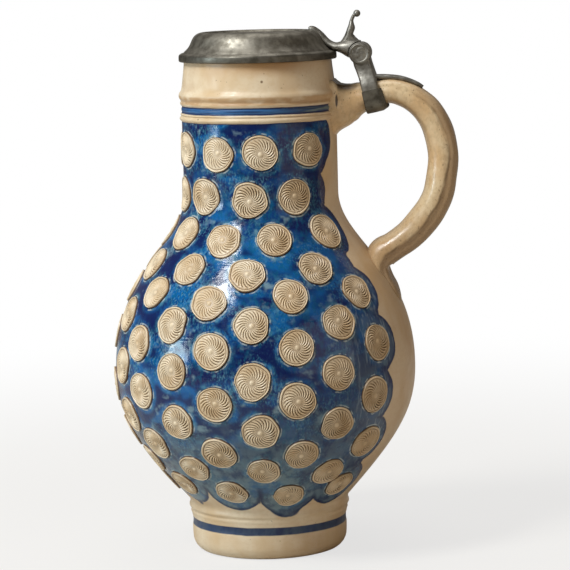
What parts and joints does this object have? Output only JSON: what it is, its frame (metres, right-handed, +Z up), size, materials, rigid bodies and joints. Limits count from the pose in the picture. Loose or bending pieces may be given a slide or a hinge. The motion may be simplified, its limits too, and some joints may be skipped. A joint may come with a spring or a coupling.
{
  "type": "stoneware jug",
  "caption": "Pear-shaped salt-glazed stoneware jug with rows of raised round rosettes, a loop handle and a hinged pewter lid with a thumbpiece.",
  "frame": {"origin": "centre of the flat underside of the foot", "axes": "+Z up along the jug's axis, +X towards the handle and the lid's hinge, Y = 0 is the handle's plane"},
  "size_m": [0.1861, 0.1621, 0.2865],
  "materials": {
    "glazed_stoneware": "cobalt blue under glossy salt glaze, with cream rosettes, neck and foot",
    "plain_stoneware": "cream stoneware under clear salt glaze",
    "pewter": "old cast pewter, dull and slightly pitted",
    "lid_pewter": "old turned pewter, satin"
  },
  "bodies": {
    "jug": {"stoneware_body": "glazed_stoneware", "stoneware_handle": "plain_stoneware", "handle_band": "pewter", "hinge_shank": "pewter", "handle_tang": "pewter", "hinge_pin": "pewter", "hinge_cap_near": "pewter", "hinge_cap_far": "pewter"},
    "lid": {"lid_shell": "lid_pewter", "lid_lever": "lid_pewter", "thumbpiece": "lid_pewter"}
  },
  "joints": [
    {"name": "lid_hinge", "type": "hinge", "parent": "jug", "child": "lid", "pos_m": [0.0545, 0, 0.2639], "axis": [0, 1, 0], "range_deg": [0, 110]}
  ]
}
